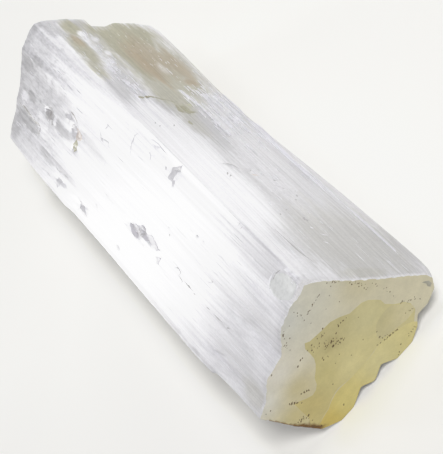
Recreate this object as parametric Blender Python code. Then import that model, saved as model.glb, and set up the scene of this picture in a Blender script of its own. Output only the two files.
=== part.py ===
"""A sawn length of fibrous selenite: one solid, lying along Y, sawn end at -Y."""

import math
import random

import bmesh
import bpy
from mathutils import Matrix, Vector
from mathutils.bvhtree import BVHTree

MM = 0.001

# Driving dimensions, in millimetres.
LENGTH = 187.0  # sawn end to broken end
HALF = LENGTH / 2.0
ARC_STEPS = 3  # points on each rounded corner
STATIONS = 36  # rings along the length, before the extra ones at steps
RIM_BREAK = 0.6  # narrow break along the edge of the sawn face
END_LUMP = 2.4  # deepest set-back of the broken end
FOLD = 46.0  # how far the folds of the sawn end reach along the left flank
CORNER_CHIP = 3.6  # length of the chip at the sawn end of the right corner
WAIST = 2.2  # hollow of the right corner
WAIST_AT = 30.0
WAIST_SPREAD = 45.0
GROOVE_FROM = 22.0  # where the groove of the right flank starts to open
GROOVE_TO = 66.0
LEDGE_FROM = 70.5  # where the broken ledge of the left flank starts
LEDGE_TO = 74.5

# Corners of the section, clockwise seen from the sawn end, starting at the ridge.
# Each row: x, z at the sawn end; x, z at the middle; x, z at the broken end; corner radius
# at the sawn end and at the broken end.
SECTION = [
    ("ridge", 9.0, 64.0, 8.6, 65.0, 6.8, 66.6, 1.0, 5.0),
    ("right_upper", 15.4, 52.4, 15.6, 53.2, 15.4, 55.6, 4.0, 4.0),
    ("groove_lip", 19.2, 45.5, 19.3, 46.3, 19.9, 48.9, 4.0, 0.8),
    ("groove_foot", 21.2, 41.9, 21.1, 42.5, 20.2, 44.3, 4.0, 1.2),
    ("groove_out", 23.4, 38.0, 23.3, 38.5, 23.4, 38.3, 4.0, 0.8),
    ("right_mid", 26.2, 33.8, 26.4, 34.0, 26.4, 36.6, 4.0, 3.0),
    ("right_lower", 31.4, 25.4, 31.8, 25.8, 32.2, 27.8, 4.0, 3.0),
    ("right_brow", 35.6, 18.8, 35.4, 19.6, 35.6, 21.4, 1.2, 2.0),
    ("right_corner", 37.0, 15.4, 36.8, 15.4, 36.4, 15.8, 1.2, 2.0),
    ("right_under", 33.4, 10.9, 33.8, 10.4, 34.4, 10.6, 1.4, 2.0),
    ("shelf_out", 28.6, 7.9, 28.2, 7.4, 28.8, 8.6, 1.8, 2.5),
    ("shelf_in", 23.6, 8.1, 24.2, 7.0, 24.0, 7.6, 1.2, 2.5),
    ("foot_b_out", 20.6, 3.7, 20.8, 3.2, 20.6, 3.4, 1.6, 2.0),
    ("foot_b_edge", 15.4, 0.0, 15.8, 0.0, 15.2, 0.0, 1.0, 1.0),
    ("foot_b_heel", 7.6, 0.0, 7.8, 0.0, 8.4, 0.0, 1.0, 1.0),
    ("notch_b", 2.8, 4.4, 3.0, 3.6, 3.4, 3.4, 1.0, 1.5),
    ("rib", -3.2, 0.7, -2.9, 0.9, -2.4, 1.2, 1.6, 2.0),
    ("notch_a", -7.4, 4.7, -7.2, 3.9, -7.8, 3.4, 1.0, 1.5),
    ("foot_a_heel", -14.6, 0.0, -14.0, 0.0, -13.6, 0.0, 1.2, 1.2),
    ("foot_a_edge", -20.8, 0.0, -21.2, 0.0, -20.4, 0.0, 1.2, 1.2),
    ("left_under", -27.0, 5.2, -27.4, 5.8, -27.2, 6.6, 3.0, 3.0),
    ("left_side", -31.0, 16.6, -31.6, 17.2, -31.8, 18.2, 6.0, 6.0),
    ("left_corner", -35.6, 33.6, -36.0, 35.6, -36.4, 37.4, 0.7, 1.0),
    ("left_low", -29.4, 37.2, -30.2, 40.2, -31.0, 41.2, 2.0, 3.0),
    ("ledge_foot", -25.2, 42.9, -25.4, 44.0, -24.6, 44.7, 1.6, 0.7),
    ("ledge_lip", -22.6, 44.8, -22.4, 46.2, -21.2, 47.7, 1.6, 0.5),
    ("terrace_in", -14.4, 46.9, -15.4, 51.0, -16.4, 51.0, 1.8, 3.0),
    ("terrace_top", -7.6, 55.9, -7.6, 56.2, -10.4, 56.0, 2.5, 4.0),
    ("left_upper", 1.0, 60.4, 0.6, 61.2, -4.2, 61.6, 4.0, 4.0),
]

# Long, shallow steps of the lower left corner: where each flake starts and ends along Y,
# and how far the corner stands out at those two places.
CORNER_FLAKES = [
    (-HALF, -67.2, 0.0, 0.0),
    (-66.0, 41.4, 1.5, 0.1),
    (42.6, 76.0, 0.9, 0.2),
    (76.0, HALF, 0.2, -1.2),
]

# Chips and pits: a point near the surface, length along Y, width across, depth, and how far
# each is turned from the fibre, in degrees.
CHIPS = [
    (-14.8, 69.2, 52.0, 6.4, 3.2, 1.3, 14),
    (-9.8, 53.2, 56.2, 5.6, 2.6, 0.9, -8),
    (-12.6, 48.6, 54.0, 5.8, 9.4, 1.3, 40),
    (-17.4, 46.4, 49.0, 4.6, 3.6, 1.1, 46),
    (-21.4, -3.6, 45.8, 8.6, 4.6, 1.2, -12),
    (-19.4, -12.0, 46.6, 9.4, 3.0, 0.9, -20),
    (5.2, -17.4, 63.2, 6.6, 5.6, 0.8, 32),
    (-31.0, 32.0, 40.0, 6.8, 4.2, 0.9, 18),
    (-31.0, 50.4, 40.4, 8.2, 3.0, 0.9, 6),
    (16.4, 30.6, 52.0, 2.0, 8.6, 0.8, 8),
    (21.4, 23.6, 42.0, 5.4, 3.0, 0.9, 10),
    (18.6, -20.4, 46.6, 3.0, 8.0, 0.7, 14),
    (3.2, -90.4, 61.4, 15.0, 9.6, 0.8, 0),
    (-30.4, -66.6, 39.6, 8.0, 3.4, 0.8, 10),
]


def lerp(a, b, t):
    return a + (b - a) * t


def ease(a, b, value):
    t = min(1.0, max(0.0, (value - a) / (b - a)))
    return t * t * (3.0 - 2.0 * t)


def flake_out(y):
    """How far the lower left corner stands out at y."""
    for start, end, first, last in CORNER_FLAKES:
        if start <= y <= end:
            return lerp(first, last, (y - start) / (end - start))
    for (_, end, _, last), (start, _, first, _) in zip(CORNER_FLAKES, CORNER_FLAKES[1:]):
        if end < y < start:
            return lerp(last, first, (y - end) / (start - end))
    return 0.0


def right_corner_shift(name, y):
    """Sideways wave of the right corner, and the chip at its sawn end."""
    hollow = -WAIST * math.exp(-(((y - WAIST_AT) / WAIST_SPREAD) ** 2))
    chip = {"right_brow": 0.9, "right_corner": 1.7}.get(name, 0.0)
    return hollow - chip * ease(-HALF + CORNER_CHIP, -HALF, y)


def corner_points(y):
    """The section's corners at y as (x, z, radius)."""
    to_middle = ease(-HALF, -HALF + FOLD, y)
    to_broken = ease(0.0, HALF, y)
    points = []
    for index, (name, x0, z0, x1, z1, x2, z2, r0, r2) in enumerate(SECTION):
        share = to_broken
        if name.startswith("groove"):
            share = ease(GROOVE_FROM, GROOVE_TO, y)
        if name.startswith("ledge"):
            share = ease(LEDGE_FROM, LEDGE_TO, y)
        x = lerp(lerp(x0, x1, to_middle), x2, share)
        z = lerp(lerp(z0, z1, to_middle), z2, share)
        swell = 0.20 * math.sin(0.061 * y + 1.9 * index) + 0.12 * math.sin(0.147 * y + 0.7 * index)
        if name.startswith("foot") or name.startswith("ledge"):
            swell = 0.0
        if name in ("right_brow", "right_corner", "right_under"):
            x += right_corner_shift(name, y)
            swell = 0.0
        if name == "left_corner":
            x -= flake_out(y)
            swell = 0.0
        if name == "ridge":
            swell *= 0.5
        out = Vector((x, z - 32.0)).normalized()
        points.append((x + out.x * swell, z + out.y * swell, lerp(r0, r2, share)))
    return points


def rounded(points):
    """The section as a closed ring of points, each corner a short arc."""
    ring = []
    count = len(points)
    for index, (x, z, radius) in enumerate(points):
        here = Vector((x, z))
        back = Vector(points[index - 1][:2]) - here
        ahead = Vector(points[(index + 1) % count][:2]) - here
        half = back.angle(ahead) / 2.0
        reach = min(radius / math.tan(half), 0.40 * back.length, 0.40 * ahead.length)
        reach = max(reach, 0.25)
        first = here + back.normalized() * reach
        last = here + ahead.normalized() * reach
        for step in range(ARC_STEPS):
            t = step / (ARC_STEPS - 1)
            ring.append(first * (1 - t) ** 2 + here * 2 * t * (1 - t) + last * t**2)
    return ring


def stations():
    """Ring positions along Y, with extra rings at the steps of the surface."""
    places = [-HALF + LENGTH * i / (STATIONS - 1) for i in range(STATIONS)]
    steps = [-67.2, -66.0, 41.4, 42.6, LEDGE_FROM, LEDGE_TO]
    kept = [y for y in places if all(abs(y - s) > 1.6 for s in steps)]
    return sorted(kept + steps + [-HALF + RIM_BREAK, -HALF + CORNER_CHIP])


def end_step(x, z):
    """How far the broken end is set back at a point of its section."""
    slope = 0.014 * (x + 36.0) + 0.006 * (66.0 - z)
    bite = 1.3 * math.exp(-(((x - 20.0) / 5.0) ** 2) - (((z - 44.0) / 6.0) ** 2))
    lump = 0.3 * math.sin(0.31 * x + 0.9) * math.sin(0.23 * z + 0.4)
    return min(END_LUMP, max(0.0, slope + bite + lump))


def build_log():
    mesh = bmesh.new()
    rings = []
    places = stations()
    for number, y in enumerate(places):
        outline = rounded(corner_points(y))
        centre = sum(outline, Vector((0.0, 0.0))) / len(outline)
        inset = RIM_BREAK * 0.5 if number == 0 else 0.0
        ring = []
        for point in outline:
            moved = point + (centre - point).normalized() * inset
            z = max(moved.y, 0.0)
            back = end_step(moved.x, z) if number == len(places) - 1 else 0.0
            ring.append(mesh.verts.new((moved.x * MM, (y - back) * MM, z * MM)))
        rings.append(ring)
    count = len(rings[0])
    for one, two in zip(rings, rings[1:]):
        for i in range(count):
            j = (i + 1) % count
            mesh.faces.new((one[i], two[i], two[j], one[j]))
    mesh.faces.new(rings[0])
    cap_broken_end(mesh, rings[-1])
    bmesh.ops.triangulate(mesh, faces=mesh.faces[:])
    bmesh.ops.recalc_face_normals(mesh, faces=mesh.faces[:])
    return mesh


def cap_broken_end(mesh, ring):
    """Close the broken end with rings of facets drawn in to one point."""
    outer = ring
    count = len(ring)
    centre = sum((v.co for v in ring), Vector()) / count
    for share in (0.70, 0.36):
        inner = []
        for vert in ring:
            x = lerp(centre.x, vert.co.x, share)
            z = lerp(centre.z, vert.co.z, share)
            inner.append(mesh.verts.new((x, (HALF - end_step(x / MM, z / MM)) * MM, z)))
        for i in range(count):
            j = (i + 1) % count
            mesh.faces.new((outer[i], inner[i], inner[j], outer[j]))
        outer = inner
    tip_y = (HALF - end_step(centre.x / MM, centre.z / MM)) * MM
    tip = mesh.verts.new((centre.x, tip_y, centre.z))
    for i in range(count):
        mesh.faces.new((outer[i], tip, outer[(i + 1) % count]))


def chip_cutter(name, place, normal, length, width, depth, turn, rng):
    """A shallow, faceted wedge that takes one chip out of the surface."""
    fibre = Vector((0.0, 1.0, 0.0))
    across = normal.cross(fibre).normalized()
    along = across.cross(normal).normalized()
    twist = Matrix.Rotation(math.radians(turn), 3, normal)
    along = twist @ along
    across = twist @ across
    points = []
    sides = 7
    for step in range(sides):
        angle = 2.0 * math.pi * (step + rng.uniform(-0.22, 0.22)) / sides
        reach = rng.uniform(0.80, 1.08)
        flat = along * (math.cos(angle) * length / 2.0 * reach)
        flat += across * (math.sin(angle) * width / 2.0 * reach)
        points.append(flat * 1.25 + normal * (depth * 0.9))
        points.append(flat * 0.94 - normal * (depth * 0.16))
    for share in (-0.34, 0.30):
        low = along * (length * (share + rng.uniform(-0.05, 0.05)))
        low += across * (width * rng.uniform(-0.14, 0.14))
        points.append(low - normal * depth)
    mesh = bmesh.new()
    for point in points:
        mesh.verts.new((place + point) * MM)
    hull = bmesh.ops.convex_hull(mesh, input=mesh.verts[:])
    spare = [v for v in hull["geom_interior"] if isinstance(v, bmesh.types.BMVert)]
    bmesh.ops.delete(mesh, geom=spare, context="VERTS")
    bmesh.ops.recalc_face_normals(mesh, faces=mesh.faces[:])
    data = bpy.data.meshes.new(name)
    mesh.to_mesh(data)
    mesh.free()
    cutter = bpy.data.objects.new(name, data)
    bpy.context.collection.objects.link(cutter)
    return cutter


def take_chips(log):
    """Cut every chip out of the log and leave one clean solid."""
    rng = random.Random(41)
    whole = bmesh.new()
    whole.from_mesh(log.data)
    tree = BVHTree.FromBMesh(whole)
    whole.free()
    cutters = []
    for number, (x, y, z, length, width, depth, turn) in enumerate(CHIPS):
        spot, normal, _, _ = tree.find_nearest(Vector((x, y, z)) * MM)
        name = "chip_%02d" % number
        cutters.append(chip_cutter(name, spot / MM, normal, length, width, depth, turn, rng))
    for cutter in cutters:
        cut = log.modifiers.new(cutter.name, "BOOLEAN")
        cut.operation = "DIFFERENCE"
        cut.solver = "EXACT"
        cut.object = cutter
    graph = bpy.context.evaluated_depsgraph_get()
    graph.update()
    result = bpy.data.meshes.new_from_object(log.evaluated_get(graph))
    log.modifiers.clear()
    log.data = result
    for cutter in cutters:
        bpy.data.objects.remove(cutter, do_unlink=True)
    clean = bmesh.new()
    clean.from_mesh(result)
    bmesh.ops.remove_doubles(clean, verts=clean.verts[:], dist=0.02 * MM)
    bmesh.ops.dissolve_degenerate(clean, edges=clean.edges[:], dist=0.02 * MM)
    bmesh.ops.triangulate(clean, faces=clean.faces[:])
    bmesh.ops.recalc_face_normals(clean, faces=clean.faces[:])
    clean.to_mesh(result)
    clean.free()


def selenite():
    material = bpy.data.materials.new("selenite")
    material.use_nodes = True
    shader = material.node_tree.nodes["Principled BSDF"]
    shader.inputs["Base Color"].default_value = (0.78, 0.77, 0.75, 1.0)
    shader.inputs["Roughness"].default_value = 0.38
    return material


for old in list(bpy.data.objects):
    bpy.data.objects.remove(old, do_unlink=True)

solid = build_log()
shape = bpy.data.meshes.new("selenite_log")
solid.to_mesh(shape)
solid.free()
stone = bpy.data.objects.new("selenite_log", shape)
bpy.context.collection.objects.link(stone)
take_chips(stone)
stone.data.materials.clear()
stone.data.materials.append(selenite())
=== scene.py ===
"""A sawn length of fibrous selenite, lying on a pale floor."""

import math
import random

import bmesh
import bpy
import numpy as np
from mathutils import Matrix, Vector, noise
from mathutils.bvhtree import BVHTree
from mathutils.geometry import delaunay_2d_cdt


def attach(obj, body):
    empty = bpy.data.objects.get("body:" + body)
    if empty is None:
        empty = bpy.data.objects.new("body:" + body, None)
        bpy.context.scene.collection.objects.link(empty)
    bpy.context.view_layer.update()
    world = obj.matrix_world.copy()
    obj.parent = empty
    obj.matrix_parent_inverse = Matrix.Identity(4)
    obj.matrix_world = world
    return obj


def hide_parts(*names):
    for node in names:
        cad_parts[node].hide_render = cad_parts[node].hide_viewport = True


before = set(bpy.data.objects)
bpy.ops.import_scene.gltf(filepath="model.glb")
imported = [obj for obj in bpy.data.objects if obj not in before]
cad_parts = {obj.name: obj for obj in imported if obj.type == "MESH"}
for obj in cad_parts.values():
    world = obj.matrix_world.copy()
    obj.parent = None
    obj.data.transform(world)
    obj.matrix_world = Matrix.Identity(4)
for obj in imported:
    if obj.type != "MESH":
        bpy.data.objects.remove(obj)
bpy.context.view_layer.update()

# ---------------------------------------------------------------------------------------
# The long sides of the log. The stone is one mass of parallel gypsum fibres, split along
# the grain, so its flanks are long laths with low steps between them. The mesh is laid
# out in rings across the fibre, read from the solid and then given the relief of the laths.

MM = 0.001
HALF = 93.5  # half the length, in millimetres
SAWN_EDGE = 0.35  # how far back from the sawn face the first ring stands
AXIS_Z = 30.0  # height of the line the rings are measured from
RIDGE_X = 9.0  # the crest between the left flank and the right one
AROUND = 440  # points in a ring
ALONG = 186  # rings
UNSEEN_SHARE = 0.4  # how thickly the underside is meshed beside the flanks
CHIP_DEPTH = 0.45  # a step deeper than this is a chip, and keeps its sharp shape
EVENING = 3.0  # how far along the fibre the laths run even, in millimetres
LAST_RING = 89.8  # where the rings stop, short of the uneven broken end
FOOT_HEIGHT = 3.0  # the relief fades out this near the floor
CORNER_REACH = 0.9  # how far the right corner stands out past the solid's, near the sawn end


def surface_of(mesh):
    """The faces of a mesh, to measure from."""
    corners = [v.co.copy() for v in mesh.vertices]
    return BVHTree.FromPolygons(corners, [list(p.vertices) for p in mesh.polygons])


surface = surface_of(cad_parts["selenite_log"].data)


def outline_at(angle, y):
    """The solid's outline at y in the direction angle, as x and z in millimetres."""
    way = Vector((math.cos(angle), 0.0, math.sin(angle)))
    spot = surface.ray_cast(Vector((0.0, y, AXIS_Z)) * MM, way)[0]
    return spot.x / MM, spot.z / MM


def ring_angles():
    """Directions that space the ring evenly over the flanks and wider underneath."""
    fine = np.linspace(0.0, 2.0 * math.pi, 2401)
    outline = np.array([outline_at(a, 10.0) for a in fine])
    steps = np.hypot(*np.diff(outline, axis=0).T)
    low = outline[:-1, 1] < 14.0
    overhung = (outline[:-1, 0] < -28.0) & (outline[:-1, 1] < 33.0)
    run = np.concatenate([[0.0], np.cumsum(steps * np.where(low | overhung, UNSEEN_SHARE, 1.0))])
    return np.interp(np.linspace(0.0, run[-1], AROUND + 1)[:-1], run, fine)


def evened(values, reach):
    """Values averaged along the fibre, with a bell-shaped weight of that reach."""
    steps = np.arange(-int(3 * reach), int(3 * reach) + 1)
    weights = np.exp(-0.5 * (steps / reach) ** 2)
    edge = len(steps) // 2
    padded = np.pad(values, [(edge, edge)] + [(0, 0)] * (values.ndim - 1), mode="edge")
    total = sum(w * padded[edge + s : edge + s + len(values)] for s, w in zip(steps, weights))
    return total / weights.sum()


angles = ring_angles()
heights = np.linspace(-HALF + SAWN_EDGE, LAST_RING, ALONG)
found = np.array([[outline_at(a, y) for a in angles] for y in heights])
even = evened(found, EVENING)
depth = np.linalg.norm(found - even, axis=2)
chipped = np.clip((depth - CHIP_DEPTH * 0.6) / (CHIP_DEPTH * 0.6), 0.0, 1.0)
near_end = np.clip(1.0 - (HALF - np.abs(heights)) / 4.0, 0.0, 1.0)[:, None]
keep = np.maximum(evened(chipped, 0.8), near_end)[:, :, None]
grid = found * keep + even * (1.0 - keep)
rings = np.stack([grid[:, :, 0], np.repeat(heights[:, None], AROUND, axis=1), grid[:, :, 1]], axis=2)
girth = np.concatenate([[0.0], np.cumsum(np.hypot(*np.diff(grid[ALONG // 2], axis=0).T))])


def smooth(low, high, value):
    """A soft step from 0 at low to 1 at high, where high may be the smaller of the two."""
    share = np.clip((value - low) / (high - low), 0.0, 1.0)
    return share * share * (3.0 - 2.0 * share)


def rough(x, y, z):
    """A smooth random value between -1 and 1 at a point."""
    return noise.noise(Vector((x, y, z)))


def stepped(value, levels):
    """A value pressed towards whole levels, which makes flat laths with quick steps."""
    place = value * levels
    whole = math.floor(place)
    part = place - whole
    return (whole + part * part * part * (part * (part * 6.0 - 15.0) + 10.0)) / levels


def lath_relief(s, y):
    """Height of the laths at s millimetres round the log and y along it."""
    broad = stepped(rough(s / 4.6, y / 90.0, 3.1), 5)
    lath = stepped(rough(s / 1.7, y / 46.0, 8.7), 4)
    fibre = rough(s / 0.7, y / 18.0, 15.3)
    return 0.12 * broad + 0.09 * lath + 0.05 * fibre


# Where knocks have crushed the fibres, each spot has its middle along and across the log,
# its half length and half width in millimetres, and its strength.
CRUSHED = [
    (84, -8, 28, 26, 0.8),
    (-90, 8, 5, 3, 0.8),
    (48, -12, 8, 6, 0.5),
    (68, -15, 7, 4, 0.9),
    (33, -32, 8, 4, 0.5),
    (-12, -21, 12, 4, 0.4),
    (-30, 23, 24, 5, 0.4),
    (26, 21, 12, 5, 0.5),
    (80, 22, 16, 14, 0.35),
]


def crushed_at(x, y):
    """How crushed the fibres are at points of the flanks."""
    share = np.zeros_like(x)
    for along, across, half_length, half_width, strength in CRUSHED:
        reach = np.hypot((y - along) / half_length, (x - across) / half_width)
        share = np.maximum(share, strength * np.clip(1.5 - reach, 0.0, 1.0))
    return share


def crumb_relief(x, y, z):
    """Height of the crumbs of crushed fibre at a point."""
    lump = rough(x / 1.8, y / 3.4, z / 1.8)
    grain = rough(x / 0.8, y / 1.7, z / 0.8 + 30.0)
    return 0.18 * lump + 0.10 * grain


crushed = crushed_at(rings[:, :, 0], rings[:, :, 1]) * (rings[:, :, 2] > 12.0)
relief = np.array([[lath_relief(s, y) for s in girth] for y in heights])
relief += crushed * np.array([[crumb_relief(*point) for point in ring] for ring in rings])
away = rings - np.array([0.0, 0.0, AXIS_Z])
away[:, :, 1] = 0.0
away /= np.linalg.norm(away, axis=2, keepdims=True)
foot = np.clip(rings[:, :, 2] / FOOT_HEIGHT, 0.0, 1.0)
rings += away * (relief * foot)[:, :, None]
rings[:, :, 0] += CORNER_REACH * smooth(24.0, 36.0, rings[:, :, 0]) * smooth(-10.0, -85.0, rings[:, :, 1])

# ---------------------------------------------------------------------------------------
# The broken end. The fibres snapped at slightly different lengths, so it is a rough
# face of stubs, drawn in from the last ring towards its middle.

BROKEN_ROWS = 22
END_REACH = 1.6  # how far the stubs stand out past the solid's end


def broken_y(x, z, inward):
    """How far the stubs reach at a point, with inward 0 at the flanks and 1 well inside."""
    spot = surface.ray_cast(Vector((x, HALF + 20.0, z)) * MM, Vector((0.0, -1.0, 0.0)))[0]
    set_back = 0.6 * (HALF - spot.y / MM) if spot else 1.0
    stub = abs(rough(x / 2.2, z / 2.2, 4.0))
    lump = abs(rough(x / 7.0, z / 7.0, 9.0))
    return HALF + END_REACH - set_back - (0.5 * stub + 0.9 * lump) * inward


end_middle = rings[-1].mean(axis=0)
just_inside = end_middle + (rings[-1] - end_middle) * 0.97
fibre_ends = np.array([broken_y(x, z, 0.0) for x, _, z in just_inside])
rings[:, :, 1] += (fibre_ends - LAST_RING) * smooth(70.0, LAST_RING, rings[:, :, 1])
broken_rows = []
for share in np.linspace(0.99, 0.03, BROKEN_ROWS):
    row = end_middle + (rings[-1] - end_middle) * share
    row[:, 1] = [broken_y(x, z, min(1.0, 5.0 * (1.0 - share))) for x, _, z in row]
    broken_rows.append(row)

# ---------------------------------------------------------------------------------------
# The sawn face. A wet saw left it flat and dull, and it shows the log's inside: a core of
# honey-yellow translucent gypsum in clean-edged cells, inside a paler, milky rind.

FACE_STEP = 0.9  # spacing of the points on the face, in millimetres
SAWN_RIM = 0.4  # widest the saw bruised the edge, on the upper sides
HIDDEN_RIM = 0.12  # and on the underside
CREST_RIM = 2.4  # the bruise is wider at the crest

# Each cell is its outline on the face, in millimetres across and up, and a few tints with
# the places where they are purest. The first cell that holds a point gives its colour.
CELLS = {
    "chipped_corner": (
        [
            (32.7, 17.9), (33.6, 17.2), (34.6, 15.8), (34.6, 13.8), (33.4, 13.0), (32.9, 14.4),
            (33.3, 15.8),
        ],
        [(33, 15, "#807D68"), (34.2, 15, "#BDBAB0")],
    ),
    "olive_pocket": (
        [
            (9, 15), (9.6, 17), (11, 19.6), (13, 21.4), (15, 22.2), (18, 22.6), (20.5, 22), (22, 19.5),
            (24, 17.5), (25, 13), (24, 11), (20, 10.5), (16, 11.5), (12, 12.6), (10, 13.6),
        ],
        [(15, 20, "#BDB487"), (20.5, 14, "#CBC29A")],
    ),
    "golden_band": (
        [
            (-29, 7), (-26, 7.9), (-23, 9.0), (-20, 9.8), (-17.5, 11.4), (-14.5, 12.6), (-12, 12.9),
            (-9, 12.4), (-5, 12.0), (0, 12.0), (4, 12.1), (8, 13.0), (12, 12.3), (16, 10.7), (19, 9),
            (21, 7), (26, -4), (-30, -4),
        ],
        [(-23, 5, "#C6B15C"), (-14, 5, "#CFC27C"), (3, 7, "#D0C792")],
    ),
    "honey_core": (
        [
            (-6.5, 42.3), (-5, 41), (0, 40.2), (4, 39.8), (7, 38), (10, 35.3), (15, 34.5), (17, 33),
            (18.5, 30.5), (19.7, 28), (19.5, 25), (20.5, 23), (21.5, 21), (24, 18), (25, 15), (24.5, 11),
            (21, 7), (19, 9), (16, 10.8), (12, 12.2), (8, 13), (4, 12.3), (0, 12), (-5, 12), (-9, 12.6),
            (-12, 13.4), (-14, 13.2), (-17, 12), (-20, 10), (-23, 9.3), (-26, 8), (-29, 7), (-28.6, 10.6),
            (-26.3, 14), (-25.7, 20), (-25, 25.5), (-23, 24), (-21, 22.3), (-19, 21.2), (-17, 21.8),
            (-15.3, 23.5), (-14, 26.5), (-12, 28.5), (-10, 31), (-8.8, 33.5), (-8.2, 37), (-8, 40),
        ],
        [
            (2, 36, "#B9AF7E"), (12, 27, "#C6BE8F"), (-11, 23, "#C1B67C"), (-3, 17, "#D1C791"),
            (-22, 18, "#BEAF72"),
        ],
    ),
}
RIND = [
    (-4, 57, "#CACAC2"), (6, 54, "#CDCABA"), (20, 42, "#C7BF9F"), (29, 24, "#CCC5AA"),
    (-20, 42, "#D9D5C9"), (-30, 37, "#D6D4CA"), (-20, 29.5, "#C3B88E"), (-28, 20, "#C0B482"),
]

# Grains of dark ore sealed in the gypsum, each with its place on the face, its length in
# millimetres and how dark it looks through the stone above it.
GRAINS = [
    (-8.4, 53, 1.2, 0.6), (-4.8, 53.7, 0.5, 0.3), (-0.5, 56.4, 0.6, 0.3), (-10.8, 49, 0.7, 0.4),
    (-11, 45.5, 0.6, 0.3), (-8, 49.5, 0.9, 0.3), (-21.2, 44, 0.9, 0.4), (5, 52.2, 0.9, 0.6),
    (8.8, 52.9, 0.7, 0.5), (6.5, 45.7, 0.5, 0.3), (10.6, 49, 0.6, 0.2), (11, 43.2, 0.6, 0.3),
    (13.2, 51.5, 0.6, 0.3), (16.3, 50.1, 0.9, 0.6), (16.6, 49.3, 0.7, 0.7), (17.8, 44.3, 0.8, 1.0),
    (18.7, 41, 0.7, 0.4), (19.4, 37.3, 0.6, 0.7), (22.2, 37, 0.5, 0.4), (24, 30, 0.6, 0.3),
    (23.3, 24.4, 0.5, 0.5), (10.7, 30.7, 0.5, 0.5), (-14, 37, 1.1, 0.6), (-11.8, 38.2, 0.9, 1.0),
    (-10.9, 38.1, 0.7, 0.9), (-7, 37.2, 0.9, 0.8), (-7.2, 36, 0.5, 0.6), (0.8, 40.5, 0.8, 1.0),
    (4.5, 35.3, 0.9, 1.0), (2.1, 33.7, 0.9, 1.0), (-7.3, 29.4, 0.8, 1.0), (-1.8, 30.5, 1.4, 0.8),
    (-0.9, 32.6, 1.0, 0.8), (-3.3, 33.4, 0.8, 0.8), (0.4, 29, 0.6, 0.8), (-2.8, 25.2, 0.6, 0.5),
    (-6, 23.5, 0.5, 0.5), (-0.7, 20.1, 0.6, 0.4), (5.8, 21, 0.6, 0.5), (10.6, 18.3, 0.7, 0.5),
    (23.6, 19, 0.8, 0.4), (24.1, 18.4, 0.5, 0.5), (27.4, 15.7, 0.6, 0.5), (-33, 32.8, 0.6, 0.6),
    (-31.2, 32.3, 0.8, 0.8), (-25.3, 26.6, 1.0, 0.8), (-24.6, 25.5, 0.8, 0.7), (-19, 25.1, 1.0, 0.9),
    (-26.8, 17.3, 0.7, 0.7), (-28.3, 16.8, 0.7, 0.8), (-25.6, 15.6, 1.3, 0.8), (-26.1, 12.3, 0.7, 0.6),
    (-12.2, 17.1, 0.8, 0.3), (-15.8, 5.2, 1.0, 0.4), (-26, 6.6, 0.7, 0.9), (-6.2, 3.6, 1.0, 0.5),
    (8.9, 1.2, 0.5, 0.8), (9.8, 1.8, 0.7, 0.9), (12.2, 4, 0.9, 0.4), (15.4, 10.8, 0.9, 0.5),
]
# Sprays of finer grains: the two ends of each, how wide it spreads, how many and how dark.
SPRAYS = [
    (-4, 36, 1.5, 29, 1.6, 34, 0.7),
    (-8, 39, 1, 38.5, 1.4, 12, 0.45),
    (4.5, 35.8, 8, 35.2, 0.5, 6, 0.45),
    (-5, 28.6, -8, 30.5, 0.6, 5, 0.4),
    (13.4, 54.6, 17.8, 47, 0.5, 18, 0.55),
    (17.6, 47.6, 20.4, 37, 0.9, 14, 0.3),
    (1, 50.8, 9, 53.4, 0.6, 12, 0.35),
    (-0.4, 56, 0, 45, 0.8, 7, 0.25),
    (-12, 46, -7, 55, 0.9, 8, 0.3),
    (-26, 27.4, -23, 22.8, 0.7, 16, 0.6),
    (-21.6, 26.8, -18.6, 24.8, 0.5, 10, 0.6),
    (-29, 17.4, -25.4, 14.6, 0.7, 12, 0.6),
    (-31.6, 17.5, -26.8, 7.4, 0.5, 24, 0.9),
    (6.8, 13.3, 16, 10.6, 0.35, 26, 0.4),
    (9.6, 15.6, 12, 12.2, 0.6, 7, 0.3),
    (16, 4.2, 20, 4.8, 0.5, 8, 0.3),
    (23, 19.8, 28.4, 12.6, 0.5, 10, 0.35),
    (21, 14, 24, 12, 0.6, 6, 0.25),
    (22.6, 36, 24, 26, 0.7, 6, 0.25),
]
placed = list(GRAINS)
chance = random.Random(5)
for from_x, from_z, to_x, to_z, spread, count, dark in SPRAYS:
    for _ in range(count):
        share = chance.random()
        x = from_x + (to_x - from_x) * share + chance.gauss(0.0, 0.5 * spread)
        z = from_z + (to_z - from_z) * share + chance.gauss(0.0, 0.5 * spread)
        placed.append((x, z, chance.uniform(0.4, 0.8), dark * chance.uniform(0.5, 1.0)))


def grain_outline(x, z, length):
    """A ragged little outline, drawn out to the upper right as the grains lie."""
    slant = math.radians(45.0 + 55.0 * rough(x, z, 5.0))
    slender = 0.62
    outline = []
    for corner in range(7):
        turn = corner * 2.0 * math.pi / 7.0
        reach = 0.5 * length * (1.0 + 0.5 * rough(x + corner, z, 1.0))
        u, v = reach * math.cos(turn), reach * slender * math.sin(turn)
        across = u * math.cos(slant) - v * math.sin(slant)
        outline.append((x + across, z + u * math.sin(slant) + v * math.cos(slant)))
    return outline


def inside(x, z, outline):
    """Whether a point of the face is inside an outline."""
    hit = False
    for (ax, az), (bx, bz) in zip(outline, outline[1:] + outline[:1]):
        if (az > z) != (bz > z) and x < (bx - ax) * (z - az) / (bz - az) + ax:
            hit = not hit
    return hit


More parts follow.
